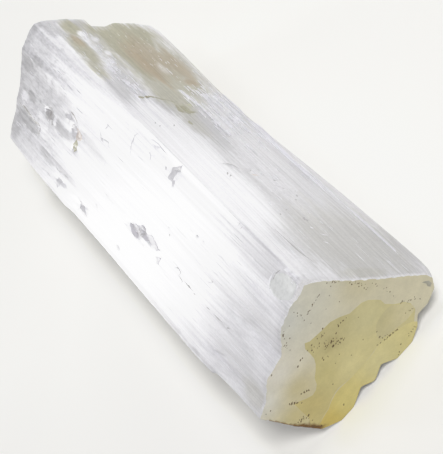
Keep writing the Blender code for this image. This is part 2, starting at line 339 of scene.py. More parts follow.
rim = rings[0][:, [0, 2]]
rim_middle = rim.mean(axis=0)
lengths = np.linalg.norm(rim - rim_middle, axis=1)
hidden = (rim[:, 1] < 12.0) | ((rim[:, 0] < -20.0) & (rim[:, 1] < 30.0))
crest = CREST_RIM * np.exp(-(((rim[:, 0] - 7.5) / 4.0) ** 2)) * (rim[:, 1] > 50.0)
bruise = smooth(0.0, 0.35, np.array([rough(x / 2.2, z / 2.2, 6.0) for x, z in rim]))
widths = np.where(hidden, HIDDEN_RIM, SAWN_RIM * (0.2 + 0.8 * bruise) + crest)
flat_edge = rim_middle + (rim - rim_middle) * (1.0 - widths / lengths)[:, None]
flat_loop = [tuple(p) for p in flat_edge]
grains = [(grain_outline(x, z, length), x, z, length, dark) for x, z, length, dark in placed]
grains = [grain for grain in grains if all(inside(*corner, flat_loop) for corner in grain[0])]
outlines = [outline for outline, _ in CELLS.values()] + [grain[0] for grain in grains]
spots = [Vector(p) for p in flat_loop]
edges = [(i, (i + 1) % AROUND) for i in range(AROUND)]
for outline in outlines:
    start = len(spots)
    spots += [Vector(p) for p in outline]
    edges += [(start + i, start + (i + 1) % len(outline)) for i in range(len(outline))]
for x in np.arange(-38.0, 38.0, FACE_STEP):
    for z in np.arange(1.0, 66.0, FACE_STEP):
        if inside(x, z, flat_loop):
            spots.append(Vector((x + 0.3 * rough(x, z, 0.0), z)))
net = delaunay_2d_cdt(spots, edges, [], 0, 1e-4)
flat_spots = [(p.x, p.y) for p in net[0]]
flat_faces = []
for face in net[2]:
    x = sum(flat_spots[i][0] for i in face) / len(face)
    z = sum(flat_spots[i][1] for i in face) / len(face)
    if inside(x, z, flat_loop):
        flat_faces.append(list(face))
kept = sorted({i for face in flat_faces for i in face})
renumbered = {old: new for new, old in enumerate(kept)}
flat_faces = [[renumbered[i] for i in face] for face in flat_faces]
flat_spots = [flat_spots[i] for i in kept]

# ---------------------------------------------------------------------------------------
# The log as one piece: the rings of the flanks, the broken stubs and the sawn face are
# joined into one closed mesh, which stands for the solid of the same form.

points = np.concatenate([rings, np.array(broken_rows)])
rows = len(points)
faces = []
for low in range(0, (rows - 1) * AROUND, AROUND):
    high = low + AROUND
    for c in range(AROUND):
        d = (c + 1) % AROUND
        faces.append((low + c, high + c, high + d, low + d))
faces.append([(rows - 1) * AROUND + c for c in reversed(range(AROUND))])
flat_start = rows * AROUND
loop_of = [0] * AROUND
for new, sources in enumerate(net[3]):
    for source in sources:
        if source < AROUND:
            loop_of[source] = renumbered[new]
for c in range(AROUND):
    d = (c + 1) % AROUND
    faces.append((c, d, flat_start + loop_of[d], flat_start + loop_of[c]))
flank_faces = len(faces)
faces += [[flat_start + i for i in corners] for corners in flat_faces]
flat_points = [(x, -HALF, z) for x, z in flat_spots]
vertices = np.concatenate([points.reshape(-1, 3), np.array(flat_points)])


def new_piece(name, points, faces):
    """A mesh object at the origin, and its mesh."""
    made = bpy.data.meshes.new(name)
    made.from_pydata(points, [], faces)
    piece = bpy.data.objects.new(name, made)
    bpy.context.scene.collection.objects.link(piece)
    return piece, made


log, mesh = new_piece("fibrous_log", (vertices * MM).tolist(), faces)
mesh.shade_smooth()
mesh.set_sharp_from_angle(angle=math.radians(38))

# ---------------------------------------------------------------------------------------
# The finish of the flanks: satin spar, which is gypsum in fine parallel fibres. It is milky white with a
# silky gleam across the grain. Where clay and iron got in, or where the fibres let light through instead
# of scattering it, the stone looks olive, brown or grey. A few of the grey clouds are painted shade
# instead, each marked where it stands.

# Each cloud is a kind, its middle along and across the log, its half length and half
# width in millimetres, and its strength.
CLOUDS = [
    # Partly painted shade: this broad grey over the right flank is in part the stone's greyer tone and in
    # part keeps that side darker than the gleaming left flank.
    ("grey", -30, 27, 110, 12, 0.6),
    ("grey", -75, 27, 26, 14, 0.7),
    ("olive", -72, 27, 28, 12, 0.25),
    ("olive", -90, 23, 4, 6, 0.4),
    ("milk", -30, 13, 36, 5.5, 1.0),
    ("grey", 16, 22.5, 30, 4.5, 1.0),
    ("olive", 20, 20.5, 18, 2.2, 0.3),
    ("grey", 36, 11, 12, 2.6, 0.8),
    ("olive", 36, 21.5, 16, 4.0, 0.75),
    ("olive", 64, 26, 33, 9.5, 0.85),
    ("olive", 66, 21.6, 30, 3.0, 1.0),
    ("olive", 84, 26, 12, 9, 1.15),
    ("olive", 40, 28, 9, 4.5, 0.8),
    ("brown", 65, 26.4, 18, 5.4, 0.7),
    ("brown", 61, 23.2, 19, 2.2, 0.9),
    ("brown", 58, 31, 14, 2.2, 0.75),
    ("brown", 43.5, 30, 3.4, 1.9, 0.9),
    ("milk", 54.5, 26.6, 4.5, 1.2, 0.3),
    ("olive", 87, 14.8, 8, 2.4, 1.05),
    ("olive", 69, 12.4, 15, 2.3, 0.9),
    ("olive", 53, 10.9, 9, 1.7, 0.8),
    ("grey", 74, 12.6, 22, 2.4, 0.7),
    ("grey", 27, 20.5, 12, 4.6, 1.1),
    ("olive", 24, 21.4, 5, 2.0, 0.9),
    ("grey", -68, 7, 14, 3, 0.5),
    ("grey", -69, 15, 12, 4, 0.55),
    ("grey", 42, 15, 14, 3.2, 0.8),
    ("olive", 34, 26, 9, 3, 0.55),
    ("brown", 76, 13.2, 6, 1.2, 0.8),
    ("grey", 80, 18, 14, 1.8, 0.8),
    ("grey", 90, 17, 5, 3, 1.0),
    ("milk", 81.5, 15.9, 2.4, 1.1, 1.0),
    ("milk", 77, 17.7, 2.4, 0.9, 0.7),
    ("grey", 62, 17, 20, 1.6, 0.5),
    ("milk", 65.5, 17.6, 2.2, 0.7, 0.9),
    ("grey", 88, 10, 8, 3, 0.8),
    ("grey", -92, -8, 6, 40, 0.2),
    ("olive", -88, -31, 7, 4, 0.35),
    ("grey", -76, -26, 16, 7, 0.35),
    ("grey", -66, -24, 16, 5, 0.35),
    ("grey", -68, -9, 24, 6, 0.4),
    ("grey", -70, 4.5, 20, 5, 0.6),
    ("grey", -45, -33, 12, 4, 0.35),
    # Painted shade: a narrow grey strip along the lowest edge of the left flank, where it rounds away
    # from the light.
    ("grey", -5, -36.8, 64, 2.2, 1.2),
    ("grey", 74, -12, 20, 12, 0.5),
    ("grey", 90, -16, 9, 22, 0.5),
    ("grey", 84, 2, 12, 4, 0.4),
    ("grey", 74, -26, 22, 12, 0.35),
    ("grey", 81.5, -3.2, 5.5, 1.9, 1.1),
    ("grey", 89, -7, 6.5, 2.8, 1.3),
    # Painted shade: this grey lies on the lower facet below the step 74 to 93 mm along, darkest next to
    # the step.
    ("grey", 83, -24, 10, 2.8, 1.35),
    ("grey", 92, -29, 6, 6, 0.9),
    ("grey", 84.4, -15.4, 4.4, 2.1, 1.3),
    # Painted shade: this grey darkens the inside of the pit 68 mm along, together with the darker flakes
    # there.
    ("grey", 68, -15.4, 4.4, 3.0, 1.1),
    ("grey", 56, -16.2, 8, 2.0, 1.1),
    ("grey", 54.4, -10, 2.4, 2.0, 1.0),
    ("grey", 34, -11.5, 13, 2.0, 0.6),
    ("grey", 50, -27.6, 11, 1.4, 0.8),
    ("grey", 64, -28.6, 7, 1.6, 0.9),
    ("grey", 60, -32, 12, 2, 0.5),
    ("grey", 62, -6, 10, 2.4, 0.5),
    ("grey", 93, -6, 3.5, 34, 0.7),
    ("milk", 89, -17.8, 3.0, 2.4, 1.2),
    ("milk", 60, -21.6, 14, 2.4, 1.0),
    ("milk", 75, -18.6, 5, 1.2, 0.8),
    ("milk", 63, -15.3, 1.4, 1.8, 1.2),
    ("milk", 55, 6.6, 34, 2.4, 0.9),
]

CLOUD_TINTS = {"grey": "#BDBCBF", "olive": "#ADAA96", "brown": "#AC9E88", "milk": "#EFEEF2"}
RIM_SHARES = {"grey": 0.25, "olive": 0.1, "brown": 0.0, "milk": 0.5}  # of the edge the saw bruised

# The fibres draw the edges of a cloud out into points, more so the longer the cloud is.
at_x, at_y, at_z = vertices.T
drawn = np.array([rough(x / 0.7, y / 40.0, z / 0.7) for x, y, z in vertices])
drawn += np.array([rough(x / 2.6, y / 14.0, z / 2.6 + 7.0) for x, y, z in vertices])
frayed = np.array([rough(x / 0.9, y / 3.0, z / 0.9 + 19.0) for x, y, z in vertices])
shares = {kind: np.zeros(len(vertices)) for kind in CLOUD_TINTS}
for kind, along, across, half_length, half_width, strength in CLOUDS:
    fray = 0.08 + 0.1 * min(1.0, half_length / 20.0)
    reach_y = (at_y - along + 0.3 * half_length * drawn) / half_length
    reach = np.hypot(reach_y, (at_x - across + 0.5 * drawn) / half_width) + fray * frayed
    shares[kind] = np.maximum(shares[kind], strength * (1.0 - smooth(0.5, 1.3, reach)))
on_saw = np.zeros(len(vertices), dtype=bool)
on_saw[:AROUND] = True
on_saw[flat_start:] = True
for kind, rim_share in RIM_SHARES.items():
    shares[kind] = np.where(on_saw, rim_share, shares[kind])
shares["crushed"] = np.where(on_saw, 0.0, crushed_at(at_x, at_y))
for kind, share in shares.items():
    mesh.attributes.new(kind, "FLOAT", "POINT").data.foreach_set("value", share)


def linear(hex_colour):
    """An sRGB hex colour as linear RGBA."""
    values = [int(hex_colour[i : i + 2], 16) / 255.0 for i in (1, 3, 5)]
    return [v / 12.92 if v <= 0.04045 else ((v + 0.055) / 1.055) ** 2.4 for v in values] + [1.0]


def new_material(name):
    """An empty material and its node tree."""
    material = bpy.data.materials.new(name)
    material.use_nodes = True
    material.node_tree.nodes.clear()
    return material, material.node_tree


def add(tree, kind, settings=None, links=None, stops=()):
    """Add a node, set its properties, sockets and colour stops, and link its inputs."""
    node = tree.nodes.new(kind)
    for key, value in (settings or {}).items():
        if isinstance(key, str) and hasattr(node, key):
            setattr(node, key, value)
        else:
            node.inputs[key].default_value = value
    for key, source in (links or {}).items():
        tree.links.new(source, node.inputs[key])
    for number, (position, colour) in enumerate(stops):
        elements = node.color_ramp.elements
        stop = elements[number] if number < len(elements) else elements.new(position)
        stop.position = position
        stop.color = colour if isinstance(colour, list) else (colour, colour, colour, 1.0)
    return node


# Each pattern of the fibres is its width and its length in millimetres, its detail, and its
# tones. The single fibres are finer than 0.1 mm and would not show, so the threads are
# drawn half a millimetre wide. The crumbs show where the stone is crushed. Such a bundle
# shines more strongly than a smooth stone, which the small metallic share stands for.
LATH_TINTS = [(0.3, linear("#E2E1E6")), (0.5, linear("#EDECF0")), (0.7, linear("#E6E6EA"))]
FIBRE_PATTERNS = {
    "laths": (3.2, 90.0, 2.0, LATH_TINTS),
    "streaks": (1.0, 80.0, 3.0, [(0.32, 0.92), (0.48, 1.0), (0.68, 1.04)]),
    "threads": (0.5, 45.0, 2.0, [(0.35, 0.94), (0.6, 1.03)]),
    "dust": (0.7, 0.9, 2.0, [(0.35, 0.96), (0.6, 1.02)]),
    "crumbs": (1.3, 2.6, 5.0, [(0.34, 0.8), (0.46, 1.0), (0.62, 1.1)]),
}
MIX = {"data_type": "RGBA", "blend_type": "MIX"}
MULTIPLY = {"data_type": "RGBA", "blend_type": "MULTIPLY", 0: 1.0}

satin, tree = new_material("satin_spar_split_along_the_grain")
place = add(tree, "ShaderNodeTexCoord")
patterns, tones = {}, {}
for name, (width, length, detail, stops) in FIBRE_PATTERNS.items():
    scale = (1000 / width, 1000 / length, 1000 / width)
    links = {"Vector": place.outputs["Object"]}
    drawn_out = add(tree, "ShaderNodeMapping", {"Scale": scale}, links)
    links = {"Vector": drawn_out.outputs[0]}
    fibre = add(tree, "ShaderNodeTexNoise", {"Scale": 1.0, "Detail": detail}, links)
    patterns[name] = fibre.outputs["Fac"]
    tones[name] = add(tree, "ShaderNodeValToRGB", {}, {"Fac": patterns[name]}, stops).outputs["Color"]

base = tones["laths"]
for kind, tint in CLOUD_TINTS.items():
    cloud = add(tree, "ShaderNodeAttribute", {"attribute_name": kind}).outputs["Fac"]
    base = add(tree, "ShaderNodeMix", {**MIX, 7: linear(tint)}, {0: cloud, 6: base}).outputs[2]
for name in ("streaks", "threads", "dust"):
    base = add(tree, "ShaderNodeMix", MULTIPLY, {6: base, 7: tones[name]}).outputs[2]
crush = add(tree, "ShaderNodeAttribute", {"attribute_name": "crushed"}).outputs["Fac"]
base = add(tree, "ShaderNodeMix", MULTIPLY, {0: crush, 6: base, 7: tones["crumbs"]}).outputs[2]
height = add(tree, "ShaderNodeMix", {**MIX, 0: 0.5}, {6: patterns["streaks"], 7: patterns["threads"]})
bump = add(tree, "ShaderNodeBump", {"Strength": 0.3, "Distance": 0.0002}, {"Height": height.outputs[2]})
tangent = add(tree, "ShaderNodeTangent", {"direction_type": "RADIAL", "axis": "Y"})
shader = add(
    tree,
    "ShaderNodeBsdfPrincipled",
    {"Metallic": 0.2, "Roughness": 0.42, "IOR": 1.52, "Specular IOR Level": 0.8, "Anisotropic": 0.95},
    {"Base Color": base, "Normal": bump.outputs[0], "Tangent": tangent.outputs[0]},
)
add(tree, "ShaderNodeOutputMaterial", {}, {"Surface": shader.outputs[0]})
mesh.materials.append(satin)

# ---------------------------------------------------------------------------------------
# The finish of the sawn face: translucent gypsum rubbed flat by a wet blade, which looks like wax. Its
# cells meet in clean steps of colour, so each corner of the net carries its own tint. Iron left a haze
# round the middle grains. The lower left edge, where the face turns in under the overhang, is painted
# dark brown as a painted shade.

UNDERCUT_SHADE_BROWN = linear("#6A4600")
UNDERCUT_SHADE_WIDTH = 1.7  # at the bottom of the face, in millimetres
HAZE = linear("#9A8B58")
HAZE_AT = (-1.8, 32.0)
ORE = linear("#4E3500")


def tinted(x, z, tints):
    """The tints of a cell mixed by how near each one's own place is."""
    weights = [1.0 / (2.0 + (x - tx) ** 2 + (z - tz) ** 2) for tx, tz, _ in tints]
    mix = np.zeros(4)
    for weight, (_, _, colour) in zip(weights, tints):
        mix += weight * np.array(linear(colour))
    return mix / sum(weights)


def face_colour(x, z, middle_x, middle_z):
    """The colour at a corner of a face whose middle says which cell and grain it is in."""
    held = [tints for outline, tints in CELLS.values() if inside(middle_x, middle_z, outline)]
    colour = tinted(x, z, held[0] if held else RIND)
    ragged = rough(x / 1.5, z / 1.5, 2.0)
    haze = 0.35 * smooth(5.0, 1.0, math.hypot(x - HAZE_AT[0], z - HAZE_AT[1]) + 1.5 * ragged)
    colour += (np.array(HAZE) - colour) * haze
    # Painted shade in dark brown along the lower left edge, where the face turns in under the overhang.
    if x < -20 and z < 30:
        gap = min(math.hypot(x - ex, z - ez) for ex, ez in lower_edge) + 0.3 * ragged
        wide = UNDERCUT_SHADE_WIDTH * smooth(22, 12, z) + 0.3
        colour += (np.array(UNDERCUT_SHADE_BROWN) - colour) * smooth(wide, 0.5 * wide, gap) * smooth(4.0, 6.5, z)
    for outline, grain_x, grain_z, length, dark in grains:
        near = abs(middle_x - grain_x) < length and abs(middle_z - grain_z) < length
        if near and inside(middle_x, middle_z, outline):
            colour += (np.array(ORE) - colour) * (0.62 + 0.38 * dark)
    return colour


lower_edge = [p for p in flat_loop if p[0] < -21 and p[1] < 30 and p[1] > 3]
colours = mesh.color_attributes.new("cell_colour", "FLOAT_COLOR", "CORNER")
for corners, polygon in zip(flat_faces, mesh.polygons[flank_faces:]):
    polygon.material_index = 1
    middle = [sum(flat_spots[i][axis] for i in corners) / len(corners) for axis in (0, 1)]
    for loop, corner in zip(polygon.loop_indices, corners):
        colours.data[loop].color = face_colour(*flat_spots[corner], *middle)

sawn, tree = new_material("gypsum_wet_sawn")
place = add(tree, "ShaderNodeTexCoord")
base = add(tree, "ShaderNodeAttribute", {"attribute_name": "cell_colour"}).outputs["Color"]
# Soft clouds 4 mm wide, then the grit that the blade left, which also roughens the face.
FACE_PATTERNS = [(4.0, 4.0, [(0.3, 0.95), (0.7, 1.05)]), (0.7, 2.0, [(0.3, 0.97), (0.7, 1.03)])]
for width, detail, stops in FACE_PATTERNS:
    settings = {"Scale": 1000 / width, "Detail": detail}
    grit = add(tree, "ShaderNodeTexNoise", settings, {"Vector": place.outputs["Object"]}).outputs["Fac"]
    tone = add(tree, "ShaderNodeValToRGB", {}, {"Fac": grit}, stops)
    base = add(tree, "ShaderNodeMix", MULTIPLY, {6: base, 7: tone.outputs["Color"]}).outputs[2]
bump = add(tree, "ShaderNodeBump", {"Strength": 0.15, "Distance": 0.0002}, {"Height": grit})
shader = add(
    tree,
    "ShaderNodeBsdfPrincipled",
    {"Roughness": 0.48, "IOR": 1.52},
    {"Base Color": base, "Normal": bump.outputs[0]},
)
add(tree, "ShaderNodeOutputMaterial", {}, {"Surface": shader.outputs[0]})
mesh.materials.append(sawn)

# The gleam of satin spar comes from fibres that lie straight along the log however its
# outside swells, so the flanks are shaded as if they did too, except in the chips. Beside
# the crest the laths of the right flank are worn round, and gleam where they turn upwards.
FIBRE_LIE = 0.15  # how much of the swelling along the log still shows
CREST_WEAR = 0.95  # how far the laths right of the crest are worn to one slope
LEFT_WEAR = 0.9  # and those left of it
CREST_BEND = 0.085  # how much the laths left of the crest dip towards the sawn end
CREST_LEAN = Vector((0.5, 0.0, 0.866))  # what the worn laths right of the crest face
FULL_LEAN = Vector((0.66, 0.0, 0.75))  # along the part that is worn most
LEFT_LEAN = Vector((-0.6, 0.0, 0.8))  # and left of the crest
CREST_WIDTH = 2.4  # how far down the left flank they are worn, in millimetres
crest_line = evened(np.array([ring[ring[:, 2].argmax(), 0] for ring in rings]), 5.0)
chip_share = np.maximum(keep[:, :, 0], 0.55 * crushed)
chip_share = np.concatenate([chip_share, np.ones((rows - ALONG, AROUND))]).reshape(-1)
chip_share = np.concatenate([chip_share, np.ones(len(flat_points))])


def crest_wear(x, y, z):
    """How far the right flank is worn round at a point."""
    lath = rough(x / 1.6, y / 60.0, z / 1.6)
    low_end = RIDGE_X + 9.0 + 2.5 * smooth(-60.0, -25.0, y) + 4.0 * lath
    fade = smooth(-75.0, -45.0, y) * (1.0 - smooth(20.0, 40.0, y))
    fade *= 1.0 - 0.45 * smooth(-30.0, -8.0, y)
    return CREST_WEAR * fade * (1.0 - smooth(low_end - 6.0, low_end + 2.0, x))


mesh.update()
worn = [crest_wear(*p) if p[0] > RIDGE_X - 3.0 and p[2] > 30.0 else 0.0 for p in vertices]
bend = CREST_BEND * smooth(0.0, 45.0, at_y) * smooth(-8.0, 5.0, at_x)
bend *= (at_z > 40.0) * (at_x < RIDGE_X + 1.0)
shaded = []
for polygon in mesh.polygons:
    middle = polygon.center / MM
    past_crest = middle.x - np.interp(middle.y, heights, crest_line)
    on_top = polygon.normal.z > 0.4 and abs(middle.y) < 91.0
    left_wear = LEFT_WEAR * smooth(-78.0, -45.0, middle.y)
    most_worn = smooth(-68.0, -46.0, middle.y) * (1.0 - smooth(-22.0, -6.0, middle.y))
    lean = CREST_LEAN.lerp(FULL_LEAN, most_worn)
    for number in polygon.loop_indices:
        vertex = mesh.loops[number].vertex_index
        normal = mesh.corner_normals[number].vector.copy()
        normal.y *= FIBRE_LIE + (1.0 - FIBRE_LIE) * chip_share[vertex]
        normal.y -= bend[vertex]
        if on_top and past_crest > 0.0:
            normal = normal.lerp(lean, worn[vertex])
        elif on_top and past_crest > -CREST_WIDTH:
            wear = left_wear * smooth(-CREST_WIDTH, -0.4 * CREST_WIDTH, past_crest)
            normal = normal.lerp(LEFT_LEAN, wear)
        shaded.append(normal.normalized())
mesh.normals_split_custom_set(shaded)
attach(log, "root")
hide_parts("selenite_log")

# ---------------------------------------------------------------------------------------
# The crushed flakes. Knocks have loosened small scales of clear gypsum from the flanks. They have lost
# the satin's gleam, so on the bright flank they look grey. Some hold clay, which makes them olive or
# brown, and the thin cracks round them are drawn in the same way. In one pit the flakes are drawn darker,
# as a painted shade of its inside.

# Each flake is its colour and its outline, in millimetres along and across the log.
FLAKE_COLOURS = {
    "clear": "#CFCED2",
    "pale": "#EAE9EE",
    "lilac": "#C6C4CA",
    "window": "#D4D5D5",
    "smoky": "#B0AEB0",
    "dark": "#A29F9C",
    "brown": "#D0C6C0",
    "olive": "#BDBBA6",
    "deep_olive": "#9D9A86",
}
FLAKES = [
    ("clear", [
        (-14.7, 5.3), (-16.8, 6.7), (-19.6, 8.3), (-20.3, 7), (-18.4, 5.3), (-18, 3.3), (-18.2, 1.8),
        (-15.8, 1), (-14.8, 1.7), (-15.3, 3.5),
    ]),
    ("smoky", [(-16.4, 6), (-18.6, 7.6), (-19.6, 7.2), (-18, 5.6), (-17.4, 4.4), (-16.4, 4.8)]),
    ("clear", [(-17.8, 2), (-19.4, 2.7), (-19.6, 1.4), (-19.7, 0.2), (-18.4, -0.2)]),
    ("clear", [(-11.3, 3.8), (-11.8, 2.6), (-12.7, 3), (-12.2, 3.8)]),
    ("pale", [(-0.4, 6.2), (-3.2, 7), (-5.4, 7.4), (-4.4, 6.4), (-2.2, 5.2)]),
    ("lilac", [(30.4, -6.2), (28.6, -6), (27.8, -7), (29.6, -7.2)]),
    ("lilac", [
        (0.3, -21.3), (-1.7, -20), (-5.3, -19.5), (-8.2, -17.8), (-10.5, -18.2), (-11.8, -19.2),
        (-15, -18), (-16.8, -18.7), (-18.7, -18.7), (-20.7, -19.8), (-22.7, -19.7), (-20, -21),
        (-16.8, -21.2), (-13.2, -20.8), (-11.8, -21.8), (-10, -21.8), (-8, -23.2), (-4.8, -23.8),
        (-2.3, -23.5),
    ]),
    ("smoky", [
        (-4.8, -20), (-7, -19), (-9.6, -18), (-11.2, -19.6), (-10.4, -21.2), (-8.9, -22.2), (-5, -22.4),
    ]),
    ("smoky", [(-17.4, -18.9), (-19.2, -19.2), (-21.2, -20.1), (-19.4, -20.6), (-17.2, -20)]),
    ("lilac", [
        (-19.7, -23), (-21.8, -22), (-24.2, -21.3), (-23, -23.2), (-23, -24.3), (-21.2, -24.7),
        (-21.3, -23.3),
    ]),
    ("clear", [(-10.2, -23.5), (-11.8, -23), (-11.7, -23.9)]),
    ("clear", [(-41, -5.6), (-39.6, -5.4), (-39, -6.6), (-40.2, -6.8)]),
    ("pale", [(-45, -5.4), (-43.6, -5.2), (-43.2, -6.2), (-44.6, -6.2)]),
    ("smoky", [(-55, -13), (-53.8, -13.2), (-54.2, -13.8)]),
    ("smoky", [(-25.6, -12.8), (-24.6, -12.6), (-24.4, -13.4), (-25.4, -13.6)]),
    ("clear", [(-24.4, -11), (-22.8, -11.2), (-23.4, -11.8)]),
    ("clear", [(3, -31.6), (4.6, -31), (6, -31.6), (5.2, -32.6), (3.4, -32.8)]),
    ("clear", [(22.2, -27.2), (23.6, -26.2), (24.6, -26.6), (23.4, -27.4)]),
    ("clear", [
        (27.6, -33.2), (30, -32), (32, -30.8), (34.4, -30.2), (37.2, -30), (35, -31.2), (34.2, -32.6),
        (36, -34.2), (33.6, -33.2), (31, -33.6),
    ]),
    ("smoky", [(32.4, -31.6), (34, -31.4), (34.4, -32.8), (33, -32.8)]),
    ("brown", [
        (48.2, -10.6), (45.6, -10.6), (43, -11.4), (41.8, -12.2), (43.4, -13.6), (46, -14.3),
        (47.6, -13.4),
    ]),
    ("clear", [
        (51.4, -12.8), (50.4, -10.8), (48.4, -10.4), (47.6, -12.4), (47.4, -14.8), (49, -14.6),
        (50.6, -14),
    ]),
    ("olive", [
        (45.8, -14.2), (44.2, -14.8), (43.8, -15.6), (45, -17.4), (46.8, -18.7), (47.8, -17.6),
        (47, -15.8),
    ]),
    ("clear", [
        (52.6, -7.6), (54.4, -8.4), (55.6, -10.2), (55.4, -11.6), (54, -12.2), (53, -11), (52.8, -9.4),
    ]),
    # These three flakes lie in a real pit 65 to 72 mm along. Their smoky and dark colours are a painted
    # shade of its inside.
    ("smoky", [
        (71.7, -15.8), (71.2, -14.4), (69.7, -13.2), (67.4, -12.6), (65.8, -13), (65, -14.8),
        (65.2, -16.4), (66.6, -16.8), (69.2, -17.2),
    ]),
    ("dark", [(70.6, -15.2), (69.4, -14), (67.4, -13.6), (66.6, -14.8), (67.6, -15.8), (69.4, -16.2)]),
    ("smoky", [(66, -16.4), (65.2, -17.8), (64.2, -17.4), (64.8, -16)]),
    ("pale", [(64.4, -14.4), (63.4, -14), (62.4, -15.6), (63, -17.2), (64.2, -16.6)]),
    ("clear", [(50.6, -30.4), (53.4, -30.6), (54, -32.6), (52.4, -34.6), (51, -33)]),
    ("deep_olive", [
        (20, 22.4), (21.2, 23.4), (22.2, 22.4), (24.6, 22.6), (26.4, 21.6), (25.8, 20.2), (23.6, 19.9),
        (21.4, 19.4), (20.4, 20.4),
    ]),
    ("olive", [(25.6, 23.4), (27.4, 22.8), (28, 24.2), (26.4, 24.4)]),
    ("deep_olive", [(29.6, 14.6), (30.4, 13.4), (31.4, 13.2), (31.4, 14.4), (30.6, 15.2)]),
    ("deep_olive", [(10.8, 19.6), (12.4, 19.9), (14.4, 19.7), (12.8, 19.1), (11.4, 19.1)]),
    ("clear", [
        (-19.3, 22.3), (-20.6, 22.6), (-21.6, 22.2), (-23, 21.5), (-23.8, 20.5), (-24, 19.6),
        (-23.2, 19.9), (-22.4, 20.9), (-21, 20.8), (-20.4, 21.7),
    ]),
    ("smoky", [(-21.3, 22.2), (-22.7, 21.7), (-23.5, 20.8), (-22.9, 21), (-22.1, 21.5)]),
    ("brown", [(-24.6, 21), (-25.7, 21.5), (-25.9, 22.5), (-25.2, 21.9)]),
    ("clear", [(-20, 18.6), (-18.8, 18.6), (-18, 17.8), (-19.2, 17.2)]),
    ("smoky", [(-56.8, 22.1), (-55.6, 22.6), (-54.4, 22.8), (-55.2, 22.2)]),
    ("clear", [(-40.6, 24.2), (-39, 24.6), (-38.2, 24), (-39.8, 23.7)]),
    ("clear", [(-35.4, 24.6), (-34.2, 24.8), (-34, 24.1), (-35, 24)]),
    ("smoky", [(-44, 24.8), (-43, 25.1), (-42.8, 24.8)]),
    ("smoky", [(-30.4, 24.8), (-29.2, 25.1), (-29.4, 24.5)]),
    ("window", [
        (-81.3, 0.2), (-81.2, 2.5), (-82, 4.7), (-84.5, 6.3), (-87.3, 7.2), (-90.3, 7.4), (-92.4, 6.8),
        (-92.6, 4.3), (-92, 1.8), (-88.5, -0.5), (-84.8, -0.8),
    ]),
    ("pale", [(-84.4, 7.4), (-86.4, 7.6), (-87.4, 8.6), (-85.6, 8.8)]),
    ("pale", [(-88.4, 8), (-90.4, 8.2), (-91.6, 9.2), (-89.4, 9.4)]),
    ("pale", [(-65, 22.2), (-66, 22.8), (-66.4, 23.6), (-65.4, 23)]),
    ("pale", [(-70.3, 21.2), (-71.2, 21.6), (-71.8, 22.2), (-70.8, 22)]),
    ("pale", [(-60.4, 21.8), (-61.6, 22.4), (-62, 21.8)]),
]
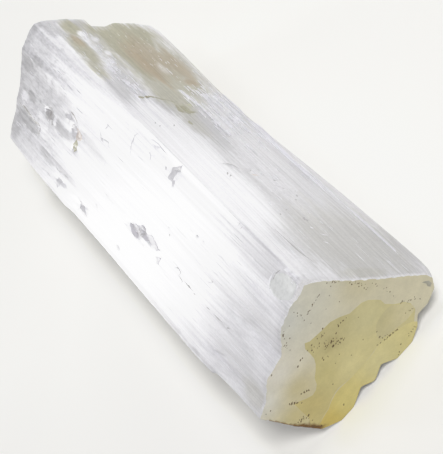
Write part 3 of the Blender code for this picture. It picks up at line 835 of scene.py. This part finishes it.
# Each crack is its colour, its widest width and its path, in the same millimetres.
CRACKS = [
    ("clear", 0.45, [(9.5, 5.2), (10.8, 3.7), (11.1, 1), (10.5, -1), (9.8, -2.8)]),
    ("clear", 0.5, [(2.2, 6.5), (0.2, 7.3), (-3.2, 7.6), (-6.7, 7.3), (-10.2, 7.1)]),
    ("clear", 0.5, [(-0.2, 3.2), (-2, 2.3), (-2.2, 1)]),
    ("clear", 0.5, [(30, -6.7), (27, -5.8), (24.7, -5.5), (23.3, -6.8)]),
    ("clear", 0.4, [(32.3, -4.5), (30.6, -5.6), (29.8, -6.8)]),
    ("clear", 0.6, [(27.4, 0.6), (27.8, -1), (28.6, -2.4), (29.2, -3)]),
    ("clear", 0.5, [(16, -20.4), (18, -20.7), (20, -20.5)]),
    ("clear", 0.5, [(0, -22.8), (2, -23), (4.4, -23.1)]),
    ("clear", 0.5, [(23, -11.6), (24, -12.6), (24.4, -13.6)]),
    ("smoky", 0.5, [
        (-32.3, -20.2), (-34.5, -19.3), (-36.7, -19.7), (-36, -21.2), (-38, -21.3), (-39, -22),
    ]),
    ("smoky", 0.5, [(-39, -20.8), (-42.8, -21.2), (-46.5, -21)]),
    ("smoky", 0.35, [(-57.5, 6.8), (-57.8, 8.2), (-59, 9)]),
    ("smoky", 0.35, [(-58.8, 6.7), (-59.6, 7.6), (-59.7, 8.8)]),
    ("smoky", 0.5, [(-24.7, -12.7), (-25.5, -13.3)]),
    ("clear", 0.5, [(-39, -6), (-41, -6.2)]),
    ("clear", 0.5, [(-43.2, -5.8), (-44.6, -6.1)]),
    ("clear", 0.4, [(-51.8, -10.5), (-54, -10.6), (-56.8, -10.2)]),
    ("clear", 0.4, [(-51.5, -14.8), (-54.7, -13.7)]),
    ("deep_olive", 0.9, [(30.7, 13.2), (30, 14.5), (31.7, 16.5), (31, 17.5), (29.8, 18.7), (29.7, 19.8)]),
    ("deep_olive", 0.5, [(29.7, 19.8), (28.4, 20.6), (27.4, 21.2)]),
    ("smoky", 0.5, [(-18.8, 16.8), (-18.2, 18.3), (-19.3, 19.2), (-22.4, 19.7)]),
    ("smoky", 0.4, [(-25.2, 16.3), (-26.6, 16.2)]),
    ("smoky", 0.4, [(-28.8, 24.8), (-30.8, 25.3)]),
    ("smoky", 0.4, [(-33.2, 24), (-35.2, 24.7), (-36.8, 25.7)]),
    ("smoky", 0.4, [(-39.5, 24.3), (-38, 23.8)]),
    ("smoky", 0.5, [(-40, 26.2), (-41.7, 26)]),
    ("smoky", 0.4, [(-42.8, 25), (-43.8, 25)]),
    ("smoky", 0.4, [(-49.8, 20.8), (-50.8, 20.4)]),
    ("smoky", 0.4, [(-52.6, 18.5), (-53.8, 18.3)]),
    ("smoky", 0.5, [(-55.2, 22), (-56.4, 22.7), (-57.4, 22.6)]),
    ("smoky", 0.35, [(-62, 14), (-68, 14.1), (-75.8, 14.3), (-83.8, 15)]),
    ("smoky", 0.5, [(-69, -20.6), (-67.4, -21.2)]),
    ("smoky", 0.45, [(-65.4, -21), (-62, -21.2), (-59.4, -21.2)]),
    ("smoky", 0.4, [(-57.4, -21.2), (-54.6, -21.4)]),
    ("smoky", 0.5, [(-48, -21.3), (-46, -21.6)]),
    ("smoky", 0.6, [(-45.4, -21.2), (-43, -20.9), (-41, -21.3)]),
    ("smoky", 0.5, [(-39.4, -20.8), (-38.6, -21.8), (-38, -22.6)]),
    ("clear", 0.4, [(-37.4, -21.2), (-35, -21.2)]),
    ("clear", 0.5, [(-37.4, -33), (-35, -32.6), (-33, -32.9)]),
    ("smoky", 0.45, [(-28.6, 15.8), (-27.4, 16.5), (-26.8, 16.6)]),
    ("smoky", 0.45, [(-27.2, 15.9), (-26, 16.2), (-25, 16.6)]),
    ("clear", 0.4, [(-22.6, 19), (-20.6, 19.2), (-19, 18.9)]),
    ("smoky", 0.35, [(7.4, 15.1), (8.2, 15.3), (9.4, 15.7)]),
    ("smoky", 0.35, [(7.4, 11.9), (8.6, 12.3)]),
    ("smoky", 0.35, [(9.6, 11.6), (10.8, 11.9)]),
    ("dark", 0.7, [
        (93, -21.2), (88, -21), (84.8, -21.3), (81, -21.6), (78, -22), (75, -21.6), (73.6, -21.9),
    ]),
    ("smoky", 0.8, [(73.6, -21.9), (73.4, -23.2), (74.2, -24.8), (77, -25.4)]),
    ("dark", 0.5, [(53.3, -7.7), (51.6, -7.8), (50.3, -8), (48, -8.8), (47.2, -9.9)]),
    ("smoky", 0.4, [(51.6, -12.8), (50.6, -10.8), (48.6, -10.2), (47.6, -10.6)]),
    ("smoky", 0.4, [(49.6, -12.6), (49, -11.6), (48, -11.8), (48.2, -13)]),
    ("smoky", 0.5, [(56.6, -28.6), (55, -28.8), (53.2, -29)]),
    ("smoky", 0.4, [(50.8, -28.2), (48, -28), (46, -28)]),
    ("smoky", 0.4, [(67, -28.2), (65, -28.6), (63.4, -28.7)]),
    ("smoky", 0.5, [(-82.2, -0.6), (-81.8, 2), (-82.2, 5), (-83.4, 6.8)]),
    ("pale", 0.9, [(-81.4, -0.6), (-80.6, 2), (-81, 5.2)]),
]
FLAKE_STEP = 0.7  # spacing of the points inside a flake, in millimetres
FLAKE_RISE = 0.08  # the middle of a flake stands this far off the flank
EDGE_RISE = 0.02  # and its edge this far
FLAKE_CRUMPLE = 0.06  # a window is a smooth facet and has none
FLAKE_ROOT = -0.35  # its underside is sunk in the flank
CHIP_STEP = 0.6  # length of the uneven steps along its edge
dressed = surface_of(mesh)


def on_flank(along, across, rise):
    """The point of the upper flanks above (across, along), lifted off them by rise."""
    spot = dressed.ray_cast(Vector((across, along, 200.0)) * MM, Vector((0.0, 0.0, -1.0)))[0]
    if spot is None:
        return None
    return spot + surface.find_nearest(spot)[1] * rise * MM


def crack_outline(width, path):
    """The two sides of a crack that is pointed at both ends."""
    above, below = [], []
    for number in range(1, len(path) - 1):
        (ay, ax), (by, bx) = path[number - 1], path[number + 1]
        run = math.hypot(by - ay, bx - ax)
        off_y, off_x = -(bx - ax) / run * width / 2, (by - ay) / run * width / 2
        y, x = path[number]
        above.append((y + off_y, x + off_x))
        below.append((y - off_y, x - off_x))
    if not above:
        (ay, ax), (by, bx) = path
        above = [((ay + by) / 2, (ax + bx) / 2 + width / 2)]
        below = [((ay + by) / 2, (ax + bx) / 2 - width / 2)]
    return [path[0]] + above + [path[-1]] + below[::-1]


def chipped_outline(outline):
    """An outline with its sides broken into small uneven steps."""
    chipped = []
    for (ay, ax), (by, bx) in zip(outline, outline[1:] + outline[:1]):
        count = max(1, round(math.hypot(by - ay, bx - ax) / CHIP_STEP))
        for part in range(count):
            y = ay + (by - ay) * part / count
            x = ax + (bx - ax) * part / count
            off_y = 0.35 * rough(y, x, 1.0)
            chipped.append((y + off_y, x + 0.28 * rough(y, x, 5.0)))
    return chipped


flake_points, flake_faces, flake_tones = [], [], []
sheets = [(tone, chipped_outline(outline)) for tone, outline in FLAKES]
sheets += [(tone, crack_outline(width, path)) for tone, width, path in CRACKS]
for tone, outline in sheets:
    spots = [Vector(point) for point in outline]
    low, high = np.min(outline, axis=0), np.max(outline, axis=0)
    for along in np.arange(low[0], high[0], FLAKE_STEP):
        for across in np.arange(low[1], high[1], FLAKE_STEP * 0.7):
            if inside(along, across, outline):
                spots.append(Vector((along, across)))
    border = [(i, (i + 1) % len(outline)) for i in range(len(outline))]
    flake_spots, _, flake_cells, sources, *_ = delaunay_2d_cdt(spots, border, [], 1, 1e-4)
    tops, roots = [], []
    for (along, across), made_from in zip(flake_spots, sources):
        rise = EDGE_RISE
        if not any(source < len(outline) for source in made_from):
            rise = FLAKE_RISE
            if tone != "window":
                rise += FLAKE_CRUMPLE * rough(along / 0.7, across / 0.7, 3.0)
        tops.append(on_flank(along, across, rise))
        roots.append(on_flank(along, across, FLAKE_ROOT))
    if any(point is None for point in tops):
        continue
    start = len(flake_points)
    flake_points += tops + roots
    under = len(tops)
    sides = set()
    for cell in flake_cells:
        corners = list(cell)
        pairs = list(zip(corners, corners[1:] + corners[:1]))
        if sum(flake_spots[i].cross(flake_spots[j]) for i, j in pairs) > 0.0:
            corners.reverse()
            pairs = list(zip(corners, corners[1:] + corners[:1]))
        flake_faces.append([start + i for i in corners])
        flake_faces.append([start + under + i for i in reversed(corners)])
        flake_tones += [tone, tone]
        sides.update(pairs)
    for i, j in sorted(sides):
        if (j, i) not in sides:
            flake_faces.append([start + j, start + i, start + under + i, start + under + j])
            flake_tones.append(tone)
flakes, flake_mesh = new_piece("crushed_flakes", flake_points, flake_faces)
tints = flake_mesh.color_attributes.new("flake_colour", "FLOAT_COLOR", "CORNER")
for polygon, tone in zip(flake_mesh.polygons, flake_tones):
    for loop in polygon.loop_indices:
        tints.data[loop].color = linear(FLAKE_COLOURS[tone])

# Crushed gypsum has no gleam along the fibre, only the plain shine of broken stone, and a
# mottle a millimetre wide from the crumbs in it.
MOTTLE = [(0.34, 0.92), (0.5, 1.0), (0.66, 1.04)]
loose, tree = new_material("clear_gypsum_crushed")
place = add(tree, "ShaderNodeTexCoord")
base = add(tree, "ShaderNodeAttribute", {"attribute_name": "flake_colour"}).outputs["Color"]
settings = {"Scale": 1000 / 1.1, "Detail": 4.0}
crumb = add(tree, "ShaderNodeTexNoise", settings, {"Vector": place.outputs["Object"]})
tone = add(tree, "ShaderNodeValToRGB", {}, {"Fac": crumb.outputs["Fac"]}, MOTTLE)
mixed = add(tree, "ShaderNodeMix", MULTIPLY, {6: base, 7: tone.outputs["Color"]})
links = {"Base Color": mixed.outputs[2]}
shader = add(tree, "ShaderNodeBsdfPrincipled", {"Roughness": 0.4, "IOR": 1.52}, links)
add(tree, "ShaderNodeOutputMaterial", {}, {"Surface": shader.outputs[0]})
flake_mesh.materials.append(loose)
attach(flakes, "root")

# ---------------------------------------------------------------------------------------
# The lifted laths. Where the fibres split unevenly, ends of single laths stand proud of the
# flanks as long thin ledges. On the right flank their upper sides face the left flank's
# light and shine, and on the left flank they turn away from it and draw fine grey lines.

# Each field is where the ledges lie, from and to along and then across the log, how many
# there are, the longest in millimetres, and the widest.
LEDGE_FIELDS = [
    (-30, 8, 33.2, 33.9, 12, 34, 1.1),
    (-80, -30, 34.3, 34.7, 16, 30, 0.5),
    (0, 38, 32, 34.6, 20, 16, 0.7),
    (4, 36, 24, 33, 60, 9, 0.9),
    (34, 42, 27, 33, 10, 7, 0.8),
    (-30, 6, 23, 33, 18, 7, 0.5),
    (28, 60, 13, 17, 40, 6, 0.7),
    (56, 84, 14.5, 18.5, 14, 5, 0.6),
    (40, 64, 25.6, 34, 14, 5, 0.4),
    (56, 92, 22, 34, 46, 3, 0.2),
    (-64, -10, 18, 27, 16, 3, 0.35),
    (-92, -60, 11, 33, 20, 10, 0.25),
    (40, 92, 9.5, 12, 14, 4, 0.4),
    (-90, -45, -34, 6, 46, 14, 0.25),
    (-45, 40, -34, 6, 20, 9, 0.25),
    (45, 92, -34, 7, 70, 5, 0.35),
    (-93, -86, 6, 9.5, 10, 1.4, 0.5),
]
BRIGHT_SIDE = Vector((-0.5, 0.0, 0.87))  # what the upper side of a ledge on the right flank faces
DULL_SIDE = Vector((0.3, 0.0, 0.95))  # and on the left flank
STATIONS = 6  # points along a ledge

chance = random.Random(11)
ledge_points, ledge_faces = [], []
for from_y, to_y, from_x, to_x, count, longest, widest in LEDGE_FIELDS:
    for _ in range(count):
        length = longest * chance.uniform(0.25, 1.0)
        width = widest * chance.uniform(0.5, 1.0)
        middle_y = chance.uniform(from_y, to_y)
        x = chance.uniform(from_x, to_x)
        start = len(ledge_points)
        rows_made = 0
        for station in range(STATIONS):
            share = station / (STATIONS - 1)
            y = middle_y + (share - 0.5) * length
            spot = on_flank(y, x, -0.03)
            if spot is None or abs(y) > HALF - 0.6:
                break
            normal = surface.find_nearest(spot)[1]
            side = BRIGHT_SIDE if normal.x > 0.0 else DULL_SIDE
            outward = Vector((side.z, 0.0, -side.x))
            if outward.dot(normal) < 0.0:
                outward = -outward
            down = Vector((0.0, 1.0, 0.0)).cross(normal) * (1.0 if normal.x > 0.0 else -1.0)
            reach = width * MM * math.sin(math.pi * (0.04 + 0.92 * share)) ** 0.6
            ledge_points += [spot, spot + outward * reach, spot + down * reach * 1.3 - normal * 0.05 * MM]
            rows_made += 1
        if rows_made < STATIONS:
            del ledge_points[start:]
            continue
        for row in range(STATIONS - 1):
            for corner in range(3):
                a, b = start + row * 3 + corner, start + row * 3 + (corner + 1) % 3
                ledge_faces.append((a, b, b + 3, a + 3))
        last = start + (STATIONS - 1) * 3
        ledge_faces += [(start + 2, start + 1, start), (last, last + 1, last + 2)]
ledges, ledge_mesh = new_piece("lifted_laths", ledge_points, ledge_faces)
ledge_mesh.materials.append(satin)
for kind in shares:
    whole = [float(kind == "milk")] * len(ledge_points)
    ledge_mesh.attributes.new(kind, "FLOAT", "POINT").data.foreach_set("value", whole)
work = bmesh.new()
work.from_mesh(ledge_mesh)
bmesh.ops.recalc_face_normals(work, faces=work.faces)
work.to_mesh(ledge_mesh)
work.free()
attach(ledges, "root")

# ---------------------------------------------------------------------------------------
# The floor is a sheet of warm white matt paper, which only shows a soft shadow and gives no shine. Its
# colour is painted a little darker towards the near left, a painted shade for the light falling off
# there.

PAPER_HALF = 4.0  # metres
SHADE_LIFTS_TOWARDS = (0.707, 0.707, 0.0)  # the way in which the paper gets lighter
PAPER_SHADED_TO_LIT_TINTS = [(0.0, linear("#EFEDE9")), (1.0, linear("#FAF9F4"))]
paper_corners = [(x * PAPER_HALF, y * PAPER_HALF, 0.0) for x, y in ((-1, -1), (1, -1), (1, 1), (-1, 1))]
floor, floor_mesh = new_piece("floor", paper_corners, [(0, 1, 2, 3)])
paper, tree = new_material("matt_paper")
place = add(tree, "ShaderNodeTexCoord")
# Painted shade: the paper's colour darkens towards the near left, standing for the light falling off
# there.
settings = {"operation": "DOT_PRODUCT", 1: SHADE_LIFTS_TOWARDS}
nearness = add(tree, "ShaderNodeVectorMath", settings, {0: place.outputs["Object"]}).outputs["Value"]
fade = add(tree, "ShaderNodeMapRange", {"From Min": -0.14, "From Max": -0.04}, {"Value": nearness})
pale = add(tree, "ShaderNodeValToRGB", {}, {"Fac": fade.outputs["Result"]}, PAPER_SHADED_TO_LIT_TINTS)
settings = {"Roughness": 0.9, "Specular IOR Level": 0.1}
shader = add(tree, "ShaderNodeBsdfPrincipled", settings, {"Base Color": pale.outputs["Color"]})
add(tree, "ShaderNodeOutputMaterial", {}, {"Surface": shader.outputs[0]})
floor_mesh.materials.append(paper)

# ---------------------------------------------------------------------------------------
# The light is a plain studio: soft boxes round the log, two of them low and narrow to draw
# the gleam along the fibres, and a faint even light from all round.

AMBIENT = 0.18

# Each box has its bearing from the log's right side, its elevation, its distance in
# metres, its width and height in metres, and its power in watts.
LAMPS = {
    "front_high_box": (290, 60, 1.8, 0.45, 0.45, 18.2),
    "front_low_box": (270, 25, 1.8, 0.45, 0.45, 1.2),
    "side_high_box": (0, 72, 1.2, 0.3, 0.3, 2.7),
    "back_high_box": (135, 65, 1.2, 0.3, 0.3, 0.7),
    "back_low_box": (68, 18, 1.2, 0.3, 0.3, 3.0),
    "gleam_left_box": (135.4, 6.5, 1.2, 0.12, 0.22, 4.6),
    "gleam_right_box": (42.5, 8, 1.2, 0.14, 0.25, 1.15),
}
for name, (bearing, elevation, distance, width, height, power) in LAMPS.items():
    lamp = bpy.data.lights.new(name, "AREA")
    lamp.shape = "RECTANGLE"
    lamp.size = width
    lamp.size_y = height
    lamp.energy = power
    box = bpy.data.objects.new(name, lamp)
    level = math.cos(math.radians(elevation))
    way = Vector(
        (
            level * math.cos(math.radians(bearing)),
            level * math.sin(math.radians(bearing)),
            math.sin(math.radians(elevation)),
        )
    )
    box.location = way * distance
    box.rotation_euler = (-way).to_track_quat("-Z", "Y").to_euler()
    bpy.context.scene.collection.objects.link(box)

world = bpy.data.worlds.new("studio")
bpy.context.scene.world = world
world.use_nodes = True
sky = world.node_tree.nodes["Background"]
sky.inputs["Color"].default_value = (1.0, 1.0, 1.0, 1.0)
sky.inputs["Strength"].default_value = AMBIENT

# ---------------------------------------------------------------------------------------
# The camera looks down on the sawn end and both flanks, and is turned so that the log lies
# from corner to corner. Its tone curve has a gentle shoulder at the bright end.

LONG_SIDE_PX = 454  # of the frame
FOCAL_PX = 1700  # focal length, in the same unit
SENSOR_MM = 36.0
ROLL_DEG = -53.0
SHOULDER_POINTS = [(0.82, 0.82), (1.0, 0.925), (1.2, 0.945), (1.5, 0.985)]
WHITE_LEVEL = 2.0
camera_data = bpy.data.cameras.new("camera")
camera_data.sensor_width = SENSOR_MM
camera_data.lens = SENSOR_MM * FOCAL_PX / LONG_SIDE_PX
camera_data.shift_x = -0.5 / LONG_SIDE_PX
camera_data.shift_y = 0.5 / LONG_SIDE_PX
camera = bpy.data.objects.new("camera", camera_data)
eye = Vector((0.0443, -0.4395, 0.4643))
aim = Vector((-0.0741, 0.6931, -0.7170))
turn = aim.to_track_quat("-Z", "Y").to_matrix() @ Matrix.Rotation(math.radians(ROLL_DEG), 3, "Z")
camera.matrix_world = Matrix.Translation(eye) @ turn.to_4x4()
bpy.context.scene.collection.objects.link(camera)
bpy.context.scene.camera = camera

view = bpy.context.scene.view_settings
view.view_transform = "Standard"
view.use_curve_mapping = True
curve = view.curve_mapping
curve.white_level = (WHITE_LEVEL, WHITE_LEVEL, WHITE_LEVEL)
shape = curve.curves[3]
for bright, shown in SHOULDER_POINTS:
    shape.points.new(bright / WHITE_LEVEL, shown)
for point in shape.points:
    point.handle_type = "VECTOR"
curve.update()
